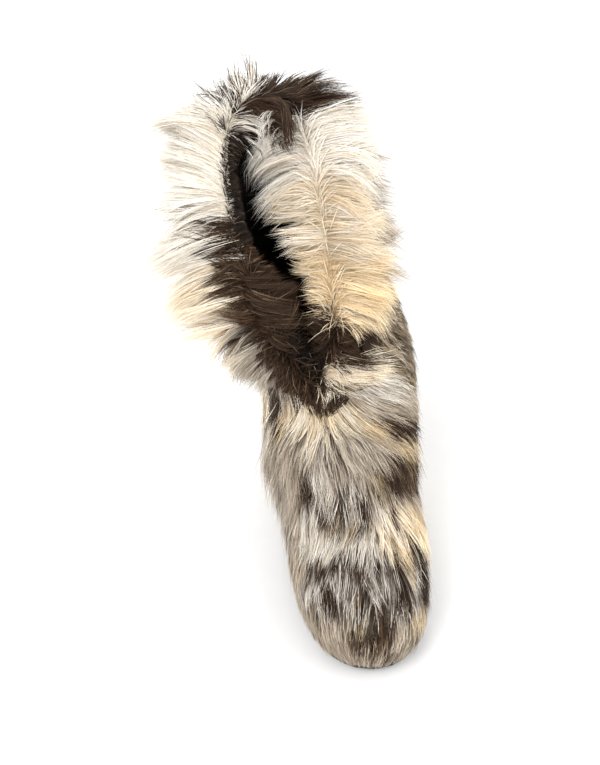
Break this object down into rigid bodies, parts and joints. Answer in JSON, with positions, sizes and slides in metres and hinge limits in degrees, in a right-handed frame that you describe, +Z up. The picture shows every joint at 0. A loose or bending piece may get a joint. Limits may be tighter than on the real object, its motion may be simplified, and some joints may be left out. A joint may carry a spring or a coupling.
{
  "type": "fur boot",
  "caption": "Tall slip-on fur boot for the right foot: hollow hide shaft and foot on a thin flat sole, short fur outside, long-haired collar strip folded over a slanted open top.",
  "frame": {"origin": "on the floor, under the middle of the heel", "axes": "+Z up, -Y towards the toe, +X towards the inner side of the foot"},
  "size_m": [0.2101, 0.3587, 0.3485],
  "materials": {
    "outsole": "matte",
    "insole": "matte",
    "upper": "matte",
    "vamp_fur": "matte",
    "shaft_fur": "matte",
    "collar_fur": "matte"
  },
  "bodies": {
    "root": {"outsole": "outsole", "insole": "insole", "upper": "upper", "vamp_fur": "vamp_fur", "shaft_fur": "shaft_fur", "collar_fur": "collar_fur"}
  },
  "joints": []
}
